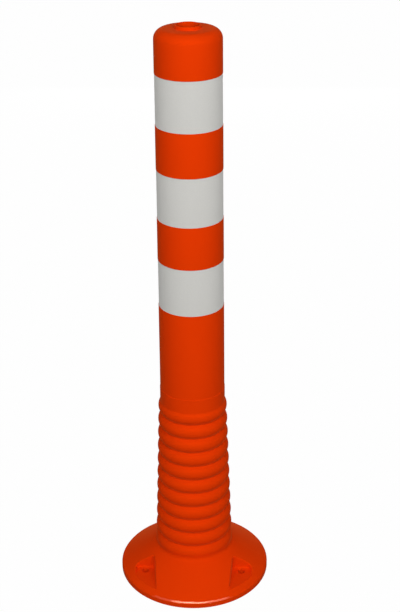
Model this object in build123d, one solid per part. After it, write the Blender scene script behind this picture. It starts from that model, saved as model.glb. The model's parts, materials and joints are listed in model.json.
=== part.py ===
from build123d import *
import math
import os

# Flexible delineator post: one hollow moulding that bends at its grooves, with three film bands.
# Millimetres. The origin is the middle of the base underside, +Z runs up the post, -Y is the front.

# Base flange
BASE_RADIUS = 100.0
RIM_HEIGHT = 6.0  # upright edge of the rim
RIM_ROUNDING = 4.0  # radius from that edge to the sloping face
FACE_SLOPE = 34.0  # degrees from the road to the sloping face
FLANGE_WALL = 6.0  # shell under the sloping face
RIM_WALL = 12.0  # foot ring under the rim
HUB_WALL = 6.0  # foot ring round the bore
STIFFENER_COUNT = 12
STIFFENER_WIDTH = 4.0

# Anchor holes, and the pockets that the bolt heads sit in
ANCHOR_COUNT = 3
ANCHOR_INSET = 25.0  # from the rim to the middle of a hole
ANCHOR_HOLE_RADIUS = 4.5  # clears an M8 anchor bolt
POCKET_WIDTH = 24.4  # at the closed end
POCKET_BACK = 8.0  # from the middle of a hole to the closed end
POCKET_CORNER = 6.0
POCKET_FLOOR = 13.5  # height of the bolt seat above the road
POCKET_DRAFT = 5.5  # degrees that each side wall opens outwards
POCKET_WALL = 5.0  # solid land round each pocket

# Ribbed flex zone
RIB_COUNT = 11
RIB_PITCH = 20.3
RIB_DEPTH = 4.6
RIB_RADIUS_BOTTOM = 51.6
RIB_STAND = 2.6  # top rib out from the collar
VALLEY_ROUNDING = 1.0
FOOT_ROUNDING = 4.0  # lowest rib into the sloping face
GROOVE_SINK = 3.23  # first groove below the height where the sloping face would reach it
FLEX_WALL = 3.0  # wall at the bottom of a groove
WEB_LENGTH = 8.0  # height of each bending neck

# Tube and head
COLLAR_STEP = 0.4  # plain collar above the ribs, out from the tube
COLLAR_HEIGHT = 17.5
COLLAR_BEVEL = 0.6
TUBE_RADIUS_BOTTOM = 41.55
TUBE_RADIUS_TOP = 40.1
TUBE_LENGTH = 481.3  # from the top groove to the head
TUBE_WALL = 5.0
HEAD_WALL = 5.0
SHOULDER_ROUNDING = 12.0
NECK_RADIUS = 15.5  # short neck round the top hole
NECK_HEIGHT = 4.0
NECK_ROUNDING = 0.9
HOLE_RADIUS = 13.5

# Reflective bands, set in shallow recesses
BAND_COUNT = 3
BAND_WIDTH = 61.5
BAND_PITCH = 116.5
BAND_DROP = 52.0  # from the head to the upper band
BAND_MARGIN = 0.4  # recess beyond each edge of the film
RECESS_DEPTH = 1.0
FILM_THICKNESS = 0.4
FILM_BOND = 0.2  # adhesive between the film and the recess
FILM_JOINT = 1.5  # gap between the two ends of a film, at the back

# Heights and radii that follow from these
collar_radius = TUBE_RADIUS_BOTTOM + COLLAR_STEP
rib_radius_top = collar_radius + RIB_STAND
slope = math.radians(FACE_SLOPE)
rim_middle = (BASE_RADIUS - RIM_ROUNDING, RIM_HEIGHT)
rim_top = (
    rim_middle[0] + RIM_ROUNDING * math.sin(slope),
    rim_middle[1] + RIM_ROUNDING * math.cos(slope),
)


def crest_radius(number):
    share = (number - 1) / (RIB_COUNT - 1)
    return RIB_RADIUS_BOTTOM + (rib_radius_top - RIB_RADIUS_BOTTOM) * share


def groove_radius(number):
    return crest_radius(number + 0.5) - RIB_DEPTH


def face_height(radius):
    return rim_top[1] + (rim_top[0] - radius) * math.tan(slope)


first_groove = face_height(groove_radius(0)) - GROOVE_SINK


def groove_height(number):
    return first_groove + RIB_PITCH * number


def crest_height(number):
    return groove_height(number - 0.5)


base_top = first_groove - WEB_LENGTH / 2
last_groove = groove_height(RIB_COUNT)
tube_start = last_groove + WEB_LENGTH / 2
collar_top = last_groove + COLLAR_HEIGHT
head_height = last_groove + TUBE_LENGTH
total_height = head_height + NECK_HEIGHT
bore_bottom = groove_radius(-first_groove / RIB_PITCH) - FLEX_WALL
bore_middle = groove_radius(RIB_COUNT) - FLEX_WALL
bore_collar = TUBE_RADIUS_BOTTOM - TUBE_WALL
bore_top = TUBE_RADIUS_TOP - TUBE_WALL
anchor_radius = BASE_RADIUS - ANCHOR_INSET


def tube_radius(height):
    share = (height - collar_top) / (head_height - collar_top)
    return TUBE_RADIUS_BOTTOM + (TUBE_RADIUS_TOP - TUBE_RADIUS_BOTTOM) * share


# Half section of the moulding, drawn as radius and height
def outline(points):
    return make_face(Polyline(*points, close=True))


def flange_section():
    middle = slope / 2 + math.radians(45)
    rim_side = (
        rim_middle[0] + RIM_ROUNDING * math.sin(middle),
        rim_middle[1] + RIM_ROUNDING * math.cos(middle),
    )
    rim_edge = (BASE_RADIUS, RIM_HEIGHT)
    peak = (0, face_height(0))
    return make_face(
        [
            Line((0, 0), (BASE_RADIUS, 0)),
            Line((BASE_RADIUS, 0), rim_edge),
            ThreePointArc(rim_edge, rim_side, rim_top),
            Line(rim_top, peak),
            Line(peak, (0, 0)),
        ]
    )


def rib_section():
    half = RIB_PITCH / 2
    reach = (RIB_DEPTH**2 + half**2) / (2 * RIB_DEPTH)
    crest_rounding = reach - VALLEY_ROUNDING
    flank = crest_rounding * half / reach
    last_flank = math.sqrt(2 * crest_rounding * RIB_DEPTH - RIB_DEPTH**2)

    def crest_point(number, offset):
        drop = crest_rounding - math.sqrt(crest_rounding**2 - offset**2)
        return (crest_radius(number + offset / RIB_PITCH) - drop, crest_height(number) + offset)

    # The end ribs run on into the flange and the collar
    start = crest_point(1, -last_flank)
    end = crest_point(RIB_COUNT, last_flank)
    edges = [Line((0, 0), (start[0], 0)), Line((start[0], 0), start)]
    for number in range(1, RIB_COUNT + 1):
        lower = start if number == 1 else crest_point(number, -flank)
        upper = end if number == RIB_COUNT else crest_point(number, flank)
        edges.append(ThreePointArc(lower, crest_point(number, 0), upper))
        if number < RIB_COUNT:
            valley = (groove_radius(number), groove_height(number))
            edges.append(ThreePointArc(upper, valley, crest_point(number + 1, -flank)))
    edges.append(Line(end, (0, end[1])))
    edges.append(Line((0, end[1]), (0, 0)))
    return make_face(edges)


def tube_section():
    bottom = crest_height(RIB_COUNT)
    tube = outline(
        [
            (0, bottom),
            (collar_radius, bottom),
            (collar_radius, collar_top - COLLAR_BEVEL),
            (TUBE_RADIUS_BOTTOM, collar_top),
            (TUBE_RADIUS_TOP, head_height),
            (0, head_height),
        ]
    )
    shoulder = tube.vertices().sort_by_distance((TUBE_RADIUS_TOP, head_height, 0))[0]
    return fillet(shoulder, SHOULDER_ROUNDING)


def neck_section():
    neck = outline(
        [(0, last_groove), (NECK_RADIUS, last_groove), (NECK_RADIUS, total_height), (0, total_height)]
    )
    edge = neck.vertices().sort_by_distance((NECK_RADIUS, total_height, 0))[0]
    return fillet(edge, NECK_ROUNDING)


def bore_section():
    ceiling = head_height - HEAD_WALL
    below = -RIM_HEIGHT
    bore = outline(
        [
            (0, below),
            (bore_bottom, below),
            (bore_bottom, 0),
            (bore_middle, last_groove),
            (bore_collar, collar_top),
            (bore_top, ceiling),
            (0, ceiling),
        ]
    )
    corner = bore.vertices().sort_by_distance((bore_top, ceiling, 0))[0]
    bore = fillet(corner, SHOULDER_ROUNDING - HEAD_WALL)
    above = total_height + NECK_HEIGHT
    hole = outline([(0, last_groove), (HOLE_RADIUS, last_groove), (HOLE_RADIUS, above), (0, above)])
    return bore + hole


def strip_section(bottom, top, depth, thickness):
    return outline(
        [
            (tube_radius(bottom) - depth, bottom),
            (tube_radius(bottom) - depth + thickness, bottom),
            (tube_radius(top) - depth + thickness, top),
            (tube_radius(top) - depth, top),
        ]
    )


def band_edges(number):
    top = head_height - BAND_DROP - BAND_PITCH * number
    return top - BAND_WIDTH, top


def moulding_section():
    solid = flange_section() + rib_section() + tube_section() + neck_section()
    corners = [
        (groove_radius(0), face_height(groove_radius(0)), FOOT_ROUNDING),
        (collar_radius, last_groove, VALLEY_ROUNDING),
        (NECK_RADIUS, head_height, NECK_ROUNDING),
    ]
    for radius, height, rounding in corners:
        corner = solid.vertices().sort_by_distance((radius, height, 0))[0]
        solid = fillet(corner, rounding)
    solid = solid - bore_section()
    for number in range(BAND_COUNT):
        bottom, top = band_edges(number)
        solid = solid - strip_section(
            bottom - BAND_MARGIN, top + BAND_MARGIN, RECESS_DEPTH, RECESS_DEPTH + collar_radius
        )
    return solid


def turned(section, bottom, top):
    slab = outline([(0, bottom), (BASE_RADIUS, bottom), (BASE_RADIUS, top), (0, top)])
    return revolve(Plane.XZ * (section & slab), Axis.Z)


# Base flange with its anchor holes, pockets and hollow underside
def anchor_points():
    turn = 360 / ANCHOR_COUNT
    for number in range(ANCHOR_COUNT):
        angle = math.radians(90 + turn * number)
        yield anchor_radius * math.cos(angle), anchor_radius * math.sin(angle)


def pocket_block(x, y, margin):
    # A seat with a closed end, whose side walls open towards the nearer mould half, front or back
    outwards = math.copysign(1, y)
    half = POCKET_WIDTH / 2 + margin
    end = y - outwards * (POCKET_BACK + margin)
    mouth = end + outwards * BASE_RADIUS
    spread = half + BASE_RADIUS * math.tan(math.radians(POCKET_DRAFT))
    plan = outline([(x - half, end), (x + half, end), (x + spread, mouth), (x - spread, mouth)])
    corners = plan.vertices().sort_by_distance((x, end, 0))[:2]
    return extrude(fillet(corners, POCKET_CORNER + margin), base_top, dir=(0, 0, 1))


def underside_hollow():
    inner = bore_bottom + HUB_WALL
    outer = BASE_RADIUS - RIM_WALL
    drop = FLANGE_WALL / math.cos(slope)
    ceiling = base_top - FLANGE_WALL
    bend = rim_top[0] - (ceiling + drop - rim_top[1]) / math.tan(slope)
    section = outline(
        [(inner, 0), (outer, 0), (outer, face_height(outer) - drop), (bend, ceiling), (inner, ceiling)]
    )
    hollow = revolve(Plane.XZ * section, Axis.Z)
    for number in range(STIFFENER_COUNT):
        turn = 360 * (number + 0.5) / STIFFENER_COUNT
        web = Box(BASE_RADIUS, STIFFENER_WIDTH, base_top, align=(Align.MIN, Align.CENTER, Align.MIN))
        hollow = hollow - Rot(0, 0, turn) * web
    for x, y in anchor_points():
        hollow = hollow - pocket_block(x, y, POCKET_WALL)
    return hollow


def base_flange(section):
    base = turned(section, 0, base_top) - underside_hollow()
    for x, y in anchor_points():
        base = base - Pos(0, 0, POCKET_FLOOR) * pocket_block(x, y, 0)
        base = base - Pos(x, y, 0) * Cylinder(ANCHOR_HOLE_RADIUS, 2 * base_top)
    return base


# Film band: one strip round the recess, its two ends a little apart at the back
def reflective_band(number):
    bottom, top = band_edges(number)
    film = strip_section(bottom, top, RECESS_DEPTH - FILM_BOND, FILM_THICKNESS)
    joint = math.degrees(FILM_JOINT / tube_radius(top))
    strip = revolve(Plane.XZ * film, Axis.Z, 360 - joint)
    return Rot(0, 0, 90 + joint / 2) * strip


def build():
    section = moulding_section()
    nodes = {"base_flange": base_flange(section)}
    for number in range(RIB_COUNT + 1):
        middle = groove_height(number)
        name = f"flex_web_{number + 1:02d}"
        nodes[name] = turned(section, middle - WEB_LENGTH / 2, middle + WEB_LENGTH / 2)
    for number in range(1, RIB_COUNT + 1):
        bottom = groove_height(number - 1) + WEB_LENGTH / 2
        top = groove_height(number) - WEB_LENGTH / 2
        nodes[f"flex_rib_{number:02d}"] = turned(section, bottom, top)
    nodes["post_tube"] = turned(section, tube_start, total_height)
    for number, place in enumerate(["upper", "middle", "lower"]):
        nodes[f"reflective_band_{place}"] = reflective_band(number)
    return nodes


os.makedirs("parts", exist_ok=True)
for name, solid in build().items():
    solid.label = name
    export_step(solid, f"parts/{name}.step")
print(f"total height {total_height:.2f}, first groove {first_groove:.2f}, last groove {last_groove:.2f}")
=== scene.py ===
import bpy
import json
import math
import numpy as np
from mathutils import Matrix, Vector

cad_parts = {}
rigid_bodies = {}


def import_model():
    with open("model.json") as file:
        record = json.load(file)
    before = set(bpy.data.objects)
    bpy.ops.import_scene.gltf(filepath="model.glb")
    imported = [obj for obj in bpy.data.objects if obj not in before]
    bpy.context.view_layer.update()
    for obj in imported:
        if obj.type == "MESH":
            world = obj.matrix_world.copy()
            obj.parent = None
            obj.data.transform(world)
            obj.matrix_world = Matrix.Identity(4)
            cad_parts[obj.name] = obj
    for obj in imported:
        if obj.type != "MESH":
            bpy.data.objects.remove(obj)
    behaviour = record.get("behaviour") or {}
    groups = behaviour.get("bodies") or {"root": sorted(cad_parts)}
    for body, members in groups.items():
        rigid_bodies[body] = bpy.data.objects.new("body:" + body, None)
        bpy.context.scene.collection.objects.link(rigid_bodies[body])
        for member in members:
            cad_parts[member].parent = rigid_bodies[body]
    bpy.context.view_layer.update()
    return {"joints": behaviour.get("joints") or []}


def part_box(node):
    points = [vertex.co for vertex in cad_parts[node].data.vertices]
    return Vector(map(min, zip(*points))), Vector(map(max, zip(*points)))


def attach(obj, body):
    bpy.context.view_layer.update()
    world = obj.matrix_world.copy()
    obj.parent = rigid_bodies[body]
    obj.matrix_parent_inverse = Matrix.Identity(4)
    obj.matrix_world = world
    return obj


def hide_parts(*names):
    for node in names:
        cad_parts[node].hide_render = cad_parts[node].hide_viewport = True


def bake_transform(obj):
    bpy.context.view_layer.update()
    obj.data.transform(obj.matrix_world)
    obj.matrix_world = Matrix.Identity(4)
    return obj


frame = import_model()
mm = 0.001

# each groove is a pair of hinges at one height, and the moulding is cut into a ring round each
# hinge
foreAftHinges = [joint for joint in frame["joints"] if joint["name"].startswith("fore_aft")]
sidewaysHinges = [joint for joint in frame["joints"] if joint["name"].startswith("sideways")]
grooves = [hinge["pos_m"][2] for hinge in foreAftHinges]
pitch = grooves[1] - grooves[0]
ribCount = len(grooves) - 1
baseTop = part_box("base_flange")[1].z
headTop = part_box("post_tube")[1].z

turning = {
    "steps": 144,  # faces round the post
    "weld": 0.001 * mm,
    "arcStep": math.radians(9),
    "arcLeast": 2,  # steps in the shortest arc
    "smoothAngle": math.radians(32),
}


def rounded(corners):
    # corners are (radius, height, rounding), and a rounded one becomes an arc
    points = []
    for index, (radius, height, rounding) in enumerate(corners):
        corner = Vector((radius, height))
        if rounding == 0:
            points.append(corner)
            continue
        back = (Vector(corners[index - 1][:2]) - corner).normalized()
        ahead = (Vector(corners[(index + 1) % len(corners)][:2]) - corner).normalized()
        half = back.angle(ahead) / 2
        middle = corner + (back + ahead).normalized() * rounding / math.sin(half)
        start = corner + back * rounding / math.tan(half) - middle
        end = corner + ahead * rounding / math.tan(half) - middle
        sweep = math.atan2(start.x * end.y - start.y * end.x, start.dot(end))
        steps = max(turning["arcLeast"], math.ceil(abs(sweep) / turning["arcStep"]))
        for step in range(steps + 1):
            points.append(middle + Matrix.Rotation(sweep * step / steps, 2) @ start)
    return points


def drawSection(name, points, around=0.0):
    # one vertex, extruded along the closed outline of (radius, height) points
    bpy.ops.object.select_all(action="DESELECT")
    bpy.ops.mesh.primitive_plane_add(size=mm)
    piece = bpy.context.object
    piece.name = name
    piece.data.name = name
    outwards = Vector((math.cos(around), math.sin(around), 0))
    places = [outwards * radius + Vector((0, 0, height)) for radius, height in points]
    bpy.ops.object.mode_set(mode="EDIT")
    bpy.ops.mesh.merge(type="CENTER")
    bpy.ops.transform.translate(value=places[0])
    for here, there in zip(places, places[1:] + places[:1]):
        bpy.ops.mesh.extrude_vertices_move(TRANSFORM_OT_translate={"value": there - here})
    return piece


def turnSection(piece, angle=2 * math.pi):
    bpy.ops.mesh.select_all(action="SELECT")
    bpy.ops.mesh.remove_doubles(threshold=turning["weld"])
    bpy.ops.mesh.select_all(action="SELECT")
    bpy.ops.mesh.spin(steps=turning["steps"], angle=angle, center=(0, 0, 0), axis=(0, 0, 1))
    bpy.ops.mesh.select_all(action="SELECT")
    bpy.ops.mesh.remove_doubles(threshold=turning["weld"])
    bpy.ops.mesh.fill_holes(sides=0)  # the two ends, where the turn isn't a full one
    bpy.ops.mesh.select_all(action="SELECT")
    bpy.ops.mesh.normals_make_consistent(inside=False)
    bpy.ops.object.mode_set(mode="OBJECT")
    bpy.ops.object.shade_smooth_by_angle(angle=turning["smoothAngle"])
    return piece


def cutAway(piece, tool):
    bpy.context.view_layer.objects.active = piece
    modifier = piece.modifiers.new("cut", "BOOLEAN")
    modifier.operation = "DIFFERENCE"
    modifier.solver = "EXACT"
    modifier.object = tool
    bpy.ops.object.modifier_apply(modifier=modifier.name)
    bpy.data.objects.remove(tool)


# ribbed zone: half round ribs on a slight taper, with round grooves between them
flexZone = {
    "ribDepth": 4.6 * mm,
    "valleyRounding": 2.2 * mm,
    "wall": 3 * mm,  # under a groove
    "footBlend": 9 * mm,  # how softly the lowest rib runs into the foot
    "collarBlend": 1.2 * mm,
    "lead": 4 * mm,  # a fore-and-aft ring starts this far under its groove
    "foreAftLength": 13.6 * mm,
    "outerRow": 0.8 * mm,
    "valleyRow": 0.22 * mm,  # closer rows in a groove
    "valleyReach": 3 * mm,
    "innerRow": 1.4 * mm,
    "endRow": 0.05 * mm,  # thin rows keep the shading even where two rings meet
    "pivotReach": 1,  # metres, further than any true pivot of the post
    "poseDigits": 9,  # decimals in a body's place
}
tube = {
    "collarRadius": 41.95 * mm,
    "collarTop": 281.2 * mm,
    "collarRounding": 0.35 * mm,
    "bottomRadius": 41.55 * mm,
    "topRadius": 40.1 * mm,
    "wall": 5 * mm,
    "headWall": 5 * mm,
    "shoulder": 12 * mm,
    "neckRadius": 15.5 * mm,
    "neckHeight": 4 * mm,
    "neckRounding": 0.9 * mm,
    "holeRadius": 13.5 * mm,
    "holeRounding": 0.6 * mm,
    "recessDepth": 1 * mm,
    "recessMargin": 0.4 * mm,
    "recessRounding": 0.25 * mm,
}
footSlope = math.radians(34)
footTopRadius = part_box("flex_web_01")[1].x
headHeight = headTop - tube["neckHeight"]
halfPitch = pitch / 2
ribReach = (flexZone["ribDepth"] ** 2 + halfPitch**2) / (2 * flexZone["ribDepth"])
crestRounding = ribReach - flexZone["valleyRounding"]
flank = crestRounding * halfPitch / ribReach
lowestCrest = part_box("flex_rib_01")[1].x
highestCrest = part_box(f"flex_rib_{ribCount:02d}")[1].x


def crestLine(height):
    share = (height - grooves[0] - halfPitch) / (pitch * (ribCount - 1))
    return lowestCrest + (highestCrest - lowestCrest) * share


def tubeRadius(height):
    share = (height - tube["collarTop"]) / (headHeight - tube["collarTop"])
    return tube["bottomRadius"] + (tube["topRadius"] - tube["bottomRadius"]) * share


def softMaximum(first, second, blend):
    return max(first, second) + max(blend - abs(first - second), 0) ** 2 / (4 * blend)


def outsideRadius(height):
    rib = min(max(math.floor((height - grooves[0]) / pitch), 0), ribCount - 1)
    offset = abs(height - grooves[0] - halfPitch - rib * pitch)
    inValley = grooves[0] + halfPitch < height < grooves[-1] - halfPitch and offset > flank
    if inValley:
        rounding = flexZone["valleyRounding"]
        drop = flexZone["ribDepth"] - rounding + math.sqrt(rounding**2 - (halfPitch - offset) ** 2)
    else:
        drop = crestRounding - math.sqrt(max(crestRounding**2 - offset**2, 0))
    radius = crestLine(height) - drop
    slope = footTopRadius - (height - baseTop) / math.tan(footSlope)
    if height < grooves[0] + halfPitch:
        return softMaximum(radius, slope, flexZone["footBlend"])
    if height > grooves[-1] - halfPitch:
        return softMaximum(radius, tube["collarRadius"], flexZone["collarBlend"])
    return radius


def insideRadius(height):
    bore = crestLine(height) - flexZone["ribDepth"] - flexZone["wall"]
    return max(bore, tubeRadius(height) - tube["wall"])


def rowHeights(bottom, top, step, valleyStep):
    end = flexZone["endRow"]
    rows = [bottom, bottom + end]
    height = bottom
    while height < top - end - step / 2:
        inValley = min(abs(height - groove) for groove in grooves) < flexZone["valleyReach"]
        height += valleyStep if inValley else step
        rows.append(height)
    return rows[:-1] + [top - end, top]


def singlePrecision(place):
    return np.array(Matrix(place.round(flexZone["poseDigits"]).tolist()), float)


def furthestBend(limit):
    # where each body goes with every hinge at that limit, as exact as Blender keeps it
    place = np.eye(4)
    places = {foreAftHinges[0]["parent"]: place}
    for hinge in (hinge for pair in zip(foreAftHinges, sidewaysHinges) for hinge in pair):
        angle = math.radians(hinge["range_deg"][limit])
        first, second = (1, 2) if hinge in foreAftHinges else (2, 0)  # the two axes that turn
        turn = np.eye(4)
        turn[first, first] = turn[second, second] = math.cos(angle)
        turn[second, first] = math.sin(angle)
        turn[first, second] = -math.sin(angle)
        turn[:3, 3] = np.array(hinge["pos_m"]) - turn[:3, :3] @ hinge["pos_m"]
        place = place @ turn
        places[hinge["child"]] = place
    return {body: singlePrecision(place) for body, place in places.items()}


furthestBends = [furthestBend(limit) for limit in (0, 1)]


def bendsSteadily(first, second):
    # for some bodies the pivot comes out absurdly far along their axis, and the bend goes wild
    for places in furthestBends:
        step = np.linalg.inv(places[first]) @ places[second]
        turn, shift = step[:3, :3], step[:3, 3]
        axis = np.array([turn[2, 1] - turn[1, 2], turn[0, 2] - turn[2, 0], turn[1, 0] - turn[0, 1]])
        axis = axis / np.linalg.norm(axis)
        pivot = np.linalg.lstsq(np.eye(3) - turn, shift - (shift @ axis) * axis, rcond=None)[0]
        if np.linalg.norm(pivot) > flexZone["pivotReach"]:
            return False
    return True


def isRigid(hinge):
    ways = (hinge["parent"], hinge["child"]), (hinge["child"], hinge["parent"])
    return not any(bendsSteadily(*way) for way in ways)


def flexRing(name, bottom, top, hinge, node):
    outerRows = rowHeights(bottom, top, flexZone["outerRow"], flexZone["valleyRow"])
    innerRows = rowHeights(bottom, top, flexZone["innerRow"], flexZone["innerRow"])
    outer = [(outsideRadius(z), z) for z in outerRows]
    inner = [(insideRadius(z), z) for z in innerRows]
    ring = turnSection(drawSection(name, outer + inner[::-1]))
    lower, upper = hinge["parent"], hinge["child"]
    if bendsSteadily(lower, upper):
        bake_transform(ring)
    elif bendsSteadily(upper, lower):
        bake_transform(ring)
    else:  # a rigid ring parts from its neighbour at the bottom of a groove
        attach(ring, upper if hinge in foreAftHinges else lower)
        print(name, "is rigid")
    if node:
        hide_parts(node)
    return ring


starts = [height - flexZone["lead"] for height in grooves]
flexTop = starts[-1] + pitch
middles = [start + flexZone["foreAftLength"] for start in starts]
for index in range(1, ribCount + 1):
    if isRigid(foreAftHinges[index]) or isRigid(sidewaysHinges[index - 1]):
        starts[index] = grooves[index]
mouldedPieces = []
for index, (bottom, middle, top) in enumerate(zip(starts, middles, starts[1:] + [flexTop])):
    number = f"{index + 1:02d}"
    web = f"flex_web_{number}"
    rib = f"flex_rib_{number}" if index < ribCount else None
    mouldedPieces += [
        flexRing(f"fore_aft_ring_{number}", bottom, middle, foreAftHinges[index], web),
        flexRing(f"sideways_ring_{number}", middle, top, sidewaysHinges[index], rib),
    ]
print("flex zone:", len(mouldedPieces), "rings")

# post tube: collar, tube with a recess for each film, rounded shoulder and a short open neck
filmPlaces = ["lower", "middle", "upper"]


def postSection():
    rounding = tube["recessRounding"]
    margin = tube["recessMargin"]
    corners = [
        (tube["collarRadius"], flexTop, 0),
        (tube["collarRadius"], tube["collarTop"] - tube["collarRounding"], tube["collarRounding"]),
        (tube["bottomRadius"], tube["collarTop"], 0),
    ]
    for place in filmPlaces:
        low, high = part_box(f"reflective_band_{place}")
        for height, atTop in ((low.z - margin, False), (high.z + margin, True)):
            outer = (tubeRadius(height), height, rounding)
            inner = (tubeRadius(height) - tube["recessDepth"], height, rounding)
            corners += [inner, outer] if atTop else [outer, inner]
    ceiling = headHeight - tube["headWall"]
    corners += [
        (tube["topRadius"], headHeight, tube["shoulder"]),
        (tube["neckRadius"], headHeight, tube["neckRounding"]),
        (tube["neckRadius"], headTop, tube["neckRounding"]),
        (tube["holeRadius"], headTop, tube["holeRounding"]),
        (tube["holeRadius"], ceiling, tube["holeRounding"]),
        (tube["topRadius"] - tube["wall"], ceiling, tube["shoulder"] - tube["headWall"]),
        (insideRadius(tube["collarTop"]), tube["collarTop"], 0),
        (insideRadius(flexTop), flexTop, 0),
    ]
    return rounded(corners)


post = turnSection(drawSection("post_shell", postSection()))
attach(post, "post")
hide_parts("post_tube")
mouldedPieces.append(post)
print("post tube:", len(post.data.polygons), "faces")

# reflective films: each one strip round its recess, with its two ends a little apart at the back
film = {
    "inset": 0.8 * mm,  # from the tube's face to the back of the film
    "thickness": 0.4 * mm,
    "edgeRounding": 0.12 * mm,
    "joint": 1.5 * mm,
}


def wrapFilm(place):
    low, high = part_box(f"reflective_band_{place}")
    inner = film["inset"]
    outer = film["inset"] - film["thickness"]
    corners = [
        (tubeRadius(low.z) - inner, low.z, 0),
        (tubeRadius(low.z) - outer, low.z, film["edgeRounding"]),
        (tubeRadius(high.z) - outer, high.z, film["edgeRounding"]),
        (tubeRadius(high.z) - inner, high.z, 0),
    ]
    gap = film["joint"] / tubeRadius(high.z)
    strip = drawSection(f"film_{place}", rounded(corners), around=math.pi / 2 + gap / 2)
    turnSection(strip, 2 * math.pi - gap)
    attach(strip, "post")
    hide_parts(f"reflective_band_{place}")
    return strip


filmPieces = [wrapFilm(place) for place in filmPlaces]
print("films:", len(filmPieces))

# foot flange: a hollow dish with foot rings, stiffeners and three bolt pockets
foot = {
    "edgeRounding": 0.8 * mm,
    "rimBevel": 2.6 * mm,  # from the upright rim to the sloping face
    "rimBevelSlope": math.radians(52),
    "rimBevelSpread": math.radians(16),
    "rimRounding": 1 * mm,  # from the sloping face to the bevel
    "wallRounding": 1.8 * mm,  # from the bevel to the upright rim
    "polishedSpread": math.radians(32),  # to each side of the front, the sector of the painted glint
    "shell": 6 * mm,
    "rimWall": 12 * mm,
    "hubWall": 6 * mm,
    "hollowRounding": 1.5 * mm,
    "stiffeners": 12,
    "stiffenerWidth": 4 * mm,
    "anchors": 3,
    "anchorInset": 25 * mm,  # from the rim to the middle of a bolt hole
    "holeRadius": 4.5 * mm,
    "holeBevel": 0.25 * mm,
    "pocketWidth": 24.4 * mm,  # at its closed end
    "pocketBack": 8 * mm,  # from the middle of the hole to the closed end
    "pocketCorner": 6 * mm,
    "pocketFloor": 13.5 * mm,
    "pocketDraft": math.radians(5.5),
    "pocketLand": 5 * mm,
    "pocketStep": 2.5 * mm,
    "lip": 1.6 * mm,  # rounding from a pocket wall to the sloping face
    "lipShare": 0.5,  # of the depth at most, where the pocket runs out
    "cove": 3 * mm,  # rounding from a pocket wall to its floor
    "coveShare": 0.25,
    "roundingSteps": 5,
    "skim": 0.04 * mm,  # the rounding stands this far above the face, for a clean cut
    "clear": 1 * mm,  # how far a cutter runs past the face that it cuts
}
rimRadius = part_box("base_flange")[1].x
anchorRadius = rimRadius - foot["anchorInset"]


def footFace(radius):
    return baseTop + (footTopRadius - radius) * math.tan(footSlope)


def footSection():
    bevelTop = rimRadius - foot["rimBevel"] * math.cos(foot["rimBevelSlope"])
    bevelBottom = footFace(bevelTop) - foot["rimBevel"] * math.sin(foot["rimBevelSlope"])
    return rounded([
        (insideRadius(0), 0, foot["edgeRounding"]),
        (rimRadius, 0, foot["edgeRounding"]),
        (rimRadius, bevelBottom, foot["wallRounding"]),
        (bevelTop, footFace(bevelTop), foot["rimRounding"]),
        (footTopRadius, baseTop, 0),
        (insideRadius(baseTop), baseTop, 0),
    ])


def hollowSection():
    inner = insideRadius(0) + foot["hubWall"]
    outer = rimRadius - foot["rimWall"]
    drop = foot["shell"] / math.cos(footSlope)
    ceiling = baseTop - foot["shell"]
    bend = footTopRadius + (baseTop - ceiling - drop) / math.tan(footSlope)
    return rounded([
        (inner, -foot["clear"], 0),
        (outer, -foot["clear"], 0),
        (outer, footFace(outer) - drop, foot["hollowRounding"]),
        (bend, ceiling, 0),
        (inner, ceiling, foot["hollowRounding"]),
    ])


def anchorPlaces():
    for number in range(foot["anchors"]):
        angle = math.pi / 2 + 2 * math.pi * number / foot["anchors"]
        yield Vector((math.cos(angle), math.sin(angle), 0)) * anchorRadius


def pocketOutline(place, margin):
    # points round a pocket, open to its own side of the mould, each with its way into the wall
    half = foot["pocketWidth"] / 2 + margin
    back = foot["pocketBack"] + margin
    corner = foot["pocketCorner"] + margin
    reach = rimRadius
    spread = half + reach * math.tan(foot["pocketDraft"])
    turns = rounded([
        (spread, reach, 0),
        (half, 0, corner),
        (-half, 0, corner),
        (-spread, reach, 0),
    ])
    points = []
    for here, there in zip(turns, turns[1:]):
        count = max(1, round((there - here).length / foot["pocketStep"]))
        points += [here.lerp(there, step / count) for step in range(count)]
    points.append(turns[-1])
    outwards = math.copysign(1, place.y)
    for index, point in enumerate(points):
        along = points[min(index + 1, len(points) - 1)] - points[max(index - 1, 0)]
        way = Vector((-along.y, along.x)).normalized()
        yield (
            Vector((place.x + point.x, place.y + outwards * (point.y - back))),
            Vector((way.x, outwards * way.y)),
        )


def arc(middle, size, start, end):
    for step in range(foot["roundingSteps"] + 1):
        angle = start + (end - start) * step / foot["roundingSteps"]
        yield middle[0] + size * math.cos(angle), middle[1] + size * math.sin(angle)


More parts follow.
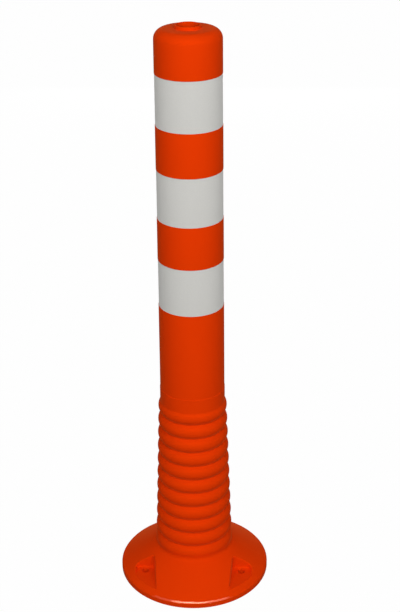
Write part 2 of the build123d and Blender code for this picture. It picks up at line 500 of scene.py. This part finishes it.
def pocketTool(place, margin, bottom, top, lip, cove):
    # made from points, since the rounding of its edge follows the sloping face all the way round
    rings = []
    for point, way in pocketOutline(place, margin):
        depth = max(footFace(point.length) - bottom, 0)
        rise = -math.tan(footSlope) * way.dot(point.normalized())
        lean = math.hypot(1, rise)
        lower = min(cove, depth * foot["coveShare"])
        upper = min(lip, depth * foot["lipShare"] / (lean - rise))
        edge = (upper, bottom + depth + (rise - lean) * upper + foot["skim"])
        profile = [*arc((-lower, bottom + lower), lower, -math.pi / 2, 0)]
        profile += arc(edge, upper, math.pi, math.atan2(1, -rise))
        profile.append((profile[-1][0], top))
        rings.append([(*(point + way * away), height) for away, height in profile])
    size = len(rings[0])
    vertices = [vertex for ring in rings for vertex in ring]
    faces = []
    for number in range(len(rings)):
        here = number * size
        there = (number + 1) % len(rings) * size
        for row in range(size - 1):
            faces.append((here + row, there + row, there + row + 1, here + row + 1))
    faces.append(tuple(range(0, len(vertices), size)))
    faces.append(tuple(range(size - 1, len(vertices), size)))
    mesh = bpy.data.meshes.new("pocket")
    mesh.from_pydata(vertices, [], faces)
    tool = bpy.data.objects.new("pocket", mesh)
    bpy.context.collection.objects.link(tool)
    bpy.ops.object.select_all(action="DESELECT")
    bpy.context.view_layer.objects.active = tool
    bpy.ops.object.mode_set(mode="EDIT")
    bpy.ops.mesh.select_all(action="SELECT")
    bpy.ops.mesh.remove_doubles(threshold=turning["weld"])
    bpy.ops.mesh.select_all(action="SELECT")
    bpy.ops.mesh.normals_make_consistent(inside=False)
    bpy.ops.object.mode_set(mode="OBJECT")
    return tool


def holeTool(place):
    radius = foot["holeRadius"]
    bevel = foot["holeBevel"]
    floor = foot["pocketFloor"]
    tool = drawSection("bolt_hole", [
        (0, -foot["clear"]),
        (radius, -foot["clear"]),
        (radius, floor - bevel),
        (radius + 2 * bevel, floor + bevel),
        (0, floor + bevel),
    ])
    turnSection(tool)
    bpy.ops.object.mode_set(mode="EDIT")
    bpy.ops.mesh.select_all(action="SELECT")
    bpy.ops.transform.translate(value=place)
    bpy.ops.object.mode_set(mode="OBJECT")
    return tool


def stiffenerTool(number):
    turn = 2 * math.pi * (number + 0.5) / foot["stiffeners"]  # half a step on from the holes
    middle = Vector((math.cos(turn), math.sin(turn), 0)) * anchorRadius
    bpy.ops.object.select_all(action="DESELECT")
    bpy.ops.mesh.primitive_cube_add(size=1, location=middle, rotation=(0, 0, turn))
    bpy.context.object.scale = (2 * foot["anchorInset"], foot["stiffenerWidth"], 2 * baseTop)
    bpy.ops.object.transform_apply()
    return bpy.context.object


def shadeFlange(piece):
    bpy.context.view_layer.objects.active = piece
    piece.select_set(True)
    bpy.ops.object.shade_smooth_by_angle(angle=turning["smoothAngle"])
    weigh = piece.modifiers.new("even shading", "WEIGHTED_NORMAL")
    weigh.keep_sharp = True
    bpy.ops.object.modifier_apply(modifier=weigh.name)


hollow = turnSection(drawSection("hollow", hollowSection()))
for number in range(foot["stiffeners"]):
    cutAway(hollow, stiffenerTool(number))
for place in anchorPlaces():
    cutAway(hollow, pocketTool(place, foot["pocketLand"], -2 * foot["clear"], baseTop, 0, 0))
flange = turnSection(drawSection("foot_flange", footSection()))
cutAway(flange, hollow)
for place in anchorPlaces():
    pocket = pocketTool(place, 0, foot["pocketFloor"], 2 * baseTop, foot["lip"], foot["cove"])
    cutAway(flange, pocket)
    cutAway(flange, holeTool(place))
shadeFlange(flange)
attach(flange, "base")
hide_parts("base_flange")
mouldedPieces.append(flange)
print("foot flange:", len(flange.data.polygons), "faces")


# materials
def linear(hexColour):
    channels = [int(hexColour[start:start + 2], 16) / 255 for start in (1, 3, 5)]
    return [c / 12.92 if c <= 0.04045 else ((c + 0.055) / 1.055) ** 2.4 for c in channels] + [1]


def addNode(tree, kind, settings, links=()):
    node = tree.nodes.new(kind)
    for name, value in settings.items():
        if isinstance(name, int) or name in node.inputs:
            node.inputs[name].default_value = value
        else:
            setattr(node, name, value)
    for name, socket in dict(links).items():
        tree.links.new(socket, node.inputs[name])
    return node


def newMaterial(name):
    material = bpy.data.materials.new(name)
    material.use_nodes = True
    tree = material.node_tree
    tree.nodes.clear()
    place = addNode(tree, "ShaderNodeTexCoord", {}).outputs["Object"]
    return material, tree, place


# thermoplastic polyurethane, injection moulded: a strong orange with a soft satin skin,
# a fine mould grain and a thin parting line down both sides
polyurethane = {
    "colour": "#E63A03",
    "satin": {"roughness": (0.36, 0.44), "specular": 0},
    "polished": {"roughness": (0.11, 0.14), "specular": 0.7},  # the front of the rim only: a glossier copy of the plastic, so that the strip lamp paints a glint there
    "glossTint": "#FFD8B8",
    "ior": 1.5,
    "metallic": 0.03,  # gives the soft highlights the colour of the plastic
    "sheen": 0.1,
    "sheenRoughness": 0.35,
    "sheenTint": "#FFE58A",
    "cloud": 70 * mm,  # how far apart lighter and darker patches lie
    "cloudDetail": 3,
    "cloudRange": (0.97, 1.03),
    "grain": 0.9 * mm,  # coarser than the real 0.2 mm grain, so that it shows
    "grainDetail": 2,
    "grainDepth": 0.02 * mm,
    "partingWidth": 0.35 * mm,
    "partingDepth": 0.12 * mm,
}


def polyurethaneMaterial(finish):
    look = polyurethane | polyurethane[finish]
    material, tree, place = newMaterial(f"{finish}_orange_polyurethane")
    cloud = addNode(
        tree, "ShaderNodeTexNoise",
        {"Scale": 1 / look["cloud"], "Detail": look["cloudDetail"]},
        {"Vector": place},
    )
    value = addNode(
        tree, "ShaderNodeMapRange",
        {"To Min": look["cloudRange"][0], "To Max": look["cloudRange"][1]},
        {"Value": cloud.outputs[0]},
    )
    colour = addNode(
        tree, "ShaderNodeHueSaturation",
        {"Color": linear(look["colour"])},
        {"Value": value.outputs[0]},
    )
    skin = addNode(
        tree, "ShaderNodeMapRange",
        {"To Min": look["roughness"][0], "To Max": look["roughness"][1]},
        {"Value": cloud.outputs[0]},
    )
    grain = addNode(
        tree, "ShaderNodeTexNoise",
        {"Scale": 1 / look["grain"], "Detail": look["grainDetail"]},
        {"Vector": place},
    )
    grainBump = addNode(
        tree, "ShaderNodeBump",
        {"Strength": 1, "Distance": look["grainDepth"]},
        {"Height": grain.outputs[0]},
    )
    axes = addNode(tree, "ShaderNodeSeparateXYZ", {}, {"Vector": place})
    side = addNode(tree, "ShaderNodeMath", {"operation": "ABSOLUTE"}, {0: axes.outputs["Y"]})
    parting = addNode(
        tree, "ShaderNodeMapRange",
        {
            "interpolation_type": "SMOOTHSTEP",
            "From Max": look["partingWidth"],
            "To Min": 1,
            "To Max": 0,
        },
        {"Value": side.outputs[0]},
    )
    bump = addNode(
        tree, "ShaderNodeBump",
        {"Strength": 1, "Distance": look["partingDepth"]},
        {"Height": parting.outputs[0], "Normal": grainBump.outputs[0]},
    )
    shader = addNode(
        tree, "ShaderNodeBsdfPrincipled",
        {
            "Specular IOR Level": look["specular"],
            "Specular Tint": linear(look["glossTint"]),
            "IOR": look["ior"],
            "Metallic": look["metallic"],
            "Sheen Weight": look["sheen"],
            "Sheen Roughness": look["sheenRoughness"],
            "Sheen Tint": linear(look["sheenTint"]),
        },
        {"Base Color": colour.outputs[0], "Roughness": skin.outputs[0], "Normal": bump.outputs[0]},
    )
    addNode(tree, "ShaderNodeOutputMaterial", {}, {"Surface": shader.outputs[0]})
    return material


# retroreflective film: glass beads under a clear skin, an even light grey with a faint sparkle
beadFilm = {
    "colour": "#D0CFCB",
    "roughness": (0.5, 0.6),
    "specular": 0.1,
    "ior": 1.5,
    "diffuseRoughness": 0.4,
    "bead": 0.8 * mm,  # coarser than the real 0.06 mm beads, so that they show
    "beadDepth": 0.02 * mm,
    "beadRange": (0.975, 1.025),
}


def beadFilmMaterial():
    look = beadFilm
    material, tree, place = newMaterial("glass_bead_reflective_film")
    beads = addNode(tree, "ShaderNodeTexVoronoi", {"Scale": 1 / look["bead"]}, {"Vector": place})
    value = addNode(
        tree, "ShaderNodeMapRange",
        {"To Min": look["beadRange"][0], "To Max": look["beadRange"][1]},
        {"Value": beads.outputs["Color"]},
    )
    colour = addNode(
        tree, "ShaderNodeHueSaturation",
        {"Color": linear(look["colour"])},
        {"Value": value.outputs[0]},
    )
    skin = addNode(
        tree, "ShaderNodeMapRange",
        {"To Min": look["roughness"][0], "To Max": look["roughness"][1]},
        {"Value": beads.outputs["Color"]},
    )
    bump = addNode(
        tree, "ShaderNodeBump",
        {"Strength": 1, "Distance": look["beadDepth"], "invert": True},
        {"Height": beads.outputs["Distance"]},
    )
    shader = addNode(
        tree, "ShaderNodeBsdfPrincipled",
        {
            "Specular IOR Level": look["specular"],
            "IOR": look["ior"],
            "Diffuse Roughness": look["diffuseRoughness"],
        },
        {"Base Color": colour.outputs[0], "Roughness": skin.outputs[0], "Normal": bump.outputs[0]},
    )
    addNode(tree, "ShaderNodeOutputMaterial", {}, {"Surface": shader.outputs[0]})
    return material


orange = polyurethaneMaterial("satin")
paintedGlintOrange = polyurethaneMaterial("polished")
silver = beadFilmMaterial()
for pieces, material, slot in (
    (mouldedPieces, orange, "post_moulding"),
    (filmPieces, silver, "reflective_film"),
):
    for piece in pieces:
        piece.data.materials.clear()
        piece.data.materials.append(material)
flange.data.materials.append(paintedGlintOrange)
# the front of the rim bevel gets the glossier copy of the plastic, a painted glint where the strip
# lamp reflects towards the camera
for face in flange.data.polygons:
    atRim = face.center.xy.length > rimRadius - foot["rimBevel"]
    atTop = face.center.z > foot["rimBevel"]
    atFront = face.center.y < -rimRadius * math.cos(foot["polishedSpread"])
    steepness = math.acos(face.normal.z)
    onBevel = abs(steepness - foot["rimBevelSlope"]) < foot["rimBevelSpread"]
    if atRim and atTop and atFront and onBevel:
        face.material_index = 1  # the glossier copy, a painted glint on the rim's front
print("materials done")

# floor, lights and camera
studio = {
    "floorSize": 14,  # metres
    "floorDrop": 0.1 * mm,
    "floorColour": "#858583",
    "backdrop": "#FFFFFF",
    "backdropShare": 0.99,  # how much of the floor shows as backdrop
    "ambient": 0.24,
}


def seenDirectly(tree):
    # 1 for what the camera sees, straight or in a reflection or through glass
    path = addNode(tree, "ShaderNodeLightPath", {})
    total = path.outputs["Is Camera Ray"]
    for kind in ("Is Glossy Ray", "Is Transmission Ray"):
        either = addNode(
            tree, "ShaderNodeMath", {"operation": "MAXIMUM"}, {0: total, 1: path.outputs[kind]}
        )
        total = either.outputs[0]
    return total


def layFloor():
    bpy.ops.object.select_all(action="DESELECT")
    level = (0, 0, -studio["floorDrop"])
    bpy.ops.mesh.primitive_plane_add(size=studio["floorSize"], location=level)
    floor = bpy.context.object
    floor.name = "floor"
    material = bpy.data.materials.new("pale_studio_floor")
    material.use_nodes = True
    tree = material.node_tree
    tree.nodes.clear()
    matt = addNode(tree, "ShaderNodeBsdfDiffuse", {"Color": linear(studio["floorColour"])})
    glow = addNode(tree, "ShaderNodeEmission", {"Color": linear(studio["backdrop"]), "Strength": 1})
    share = addNode(
        tree, "ShaderNodeMath",
        {"operation": "MULTIPLY", 1: studio["backdropShare"]},
        {0: seenDirectly(tree)},
    )
    mix = addNode(
        tree, "ShaderNodeMixShader", {},
        {0: share.outputs[0], 1: matt.outputs[0], 2: glow.outputs[0]},
    )
    addNode(tree, "ShaderNodeOutputMaterial", {}, {"Surface": mix.outputs[0]})
    floor.data.materials.append(material)


def paintWorld():
    world = bpy.data.worlds.new("studio")
    bpy.context.scene.world = world
    world.use_nodes = True
    tree = world.node_tree
    tree.nodes.clear()
    white = linear(studio["backdrop"])
    ambient = addNode(
        tree, "ShaderNodeBackground", {"Color": white, "Strength": studio["ambient"]}
    )
    backdrop = addNode(tree, "ShaderNodeBackground", {"Color": white, "Strength": 1})
    mix = addNode(
        tree, "ShaderNodeMixShader", {},
        {0: seenDirectly(tree), 1: ambient.outputs[0], 2: backdrop.outputs[0]},
    )
    addNode(tree, "ShaderNodeOutputWorld", {}, {"Surface": mix.outputs[0]})


# metres and watts: a strip for the glint on the rim, a softbox, and fill from above and behind
lights = {
    "strip": {"place": (-0.05, -1.64, 1.2), "aim": (0, 0, 0.4), "size": (1.8, 0.045), "power": 7.5},
    "softbox": {"place": (0.25, -1.64, 1.4), "aim": (0, 0, 0.55), "size": (3, 1.3), "power": 28.5},
    "overhead": {"place": (0, -0.3, 5), "aim": (0, -0.3, 0), "size": (2, 2), "power": 11},
    "fill": {"place": (0, 2.4, 0.2), "aim": (0, 0, 0.4), "size": (1.2, 0.3), "power": 22},
}


def hangLight(name, lamp):
    place = Vector(lamp["place"])
    turn = (Vector(lamp["aim"]) - place).to_track_quat("-Z", "Y").to_euler()
    bpy.ops.object.light_add(type="AREA", location=place, rotation=turn)
    light = bpy.context.object
    light.name = name
    light.data.shape = "RECTANGLE"
    light.data.size, light.data.size_y = lamp["size"]
    light.data.energy = lamp["power"]


camera = {
    "distance": 1460 * mm,  # from the post's axis
    "height": 1090.6 * mm,
    "around": 2.337,  # degrees to the right of the front, and degrees for the next three
    "pan": -0.426,
    "tilt": 25.512,
    "roll": -0.538,
    "lens": 75.74,  # millimetres
}


def setCamera():
    around = math.radians(camera["around"])
    away = camera["distance"]
    place = (away * math.sin(around), -away * math.cos(around), camera["height"])
    bpy.ops.object.camera_add(location=place)
    view = bpy.context.object
    turn = Matrix.Rotation(around + math.radians(camera["pan"]), 4, "Z")
    tilt = Matrix.Rotation(math.radians(90 - camera["tilt"]), 4, "X")
    roll = Matrix.Rotation(math.radians(camera["roll"]), 4, "Z")
    view.matrix_world = Matrix.Translation(place) @ turn @ tilt @ roll
    view.data.lens = camera["lens"]
    bpy.context.scene.camera = view


layFloor()
paintWorld()
for name, lamp in lights.items():
    hangLight(name, lamp)
setCamera()
bpy.context.scene.view_settings.view_transform = "Standard"
print("studio done")
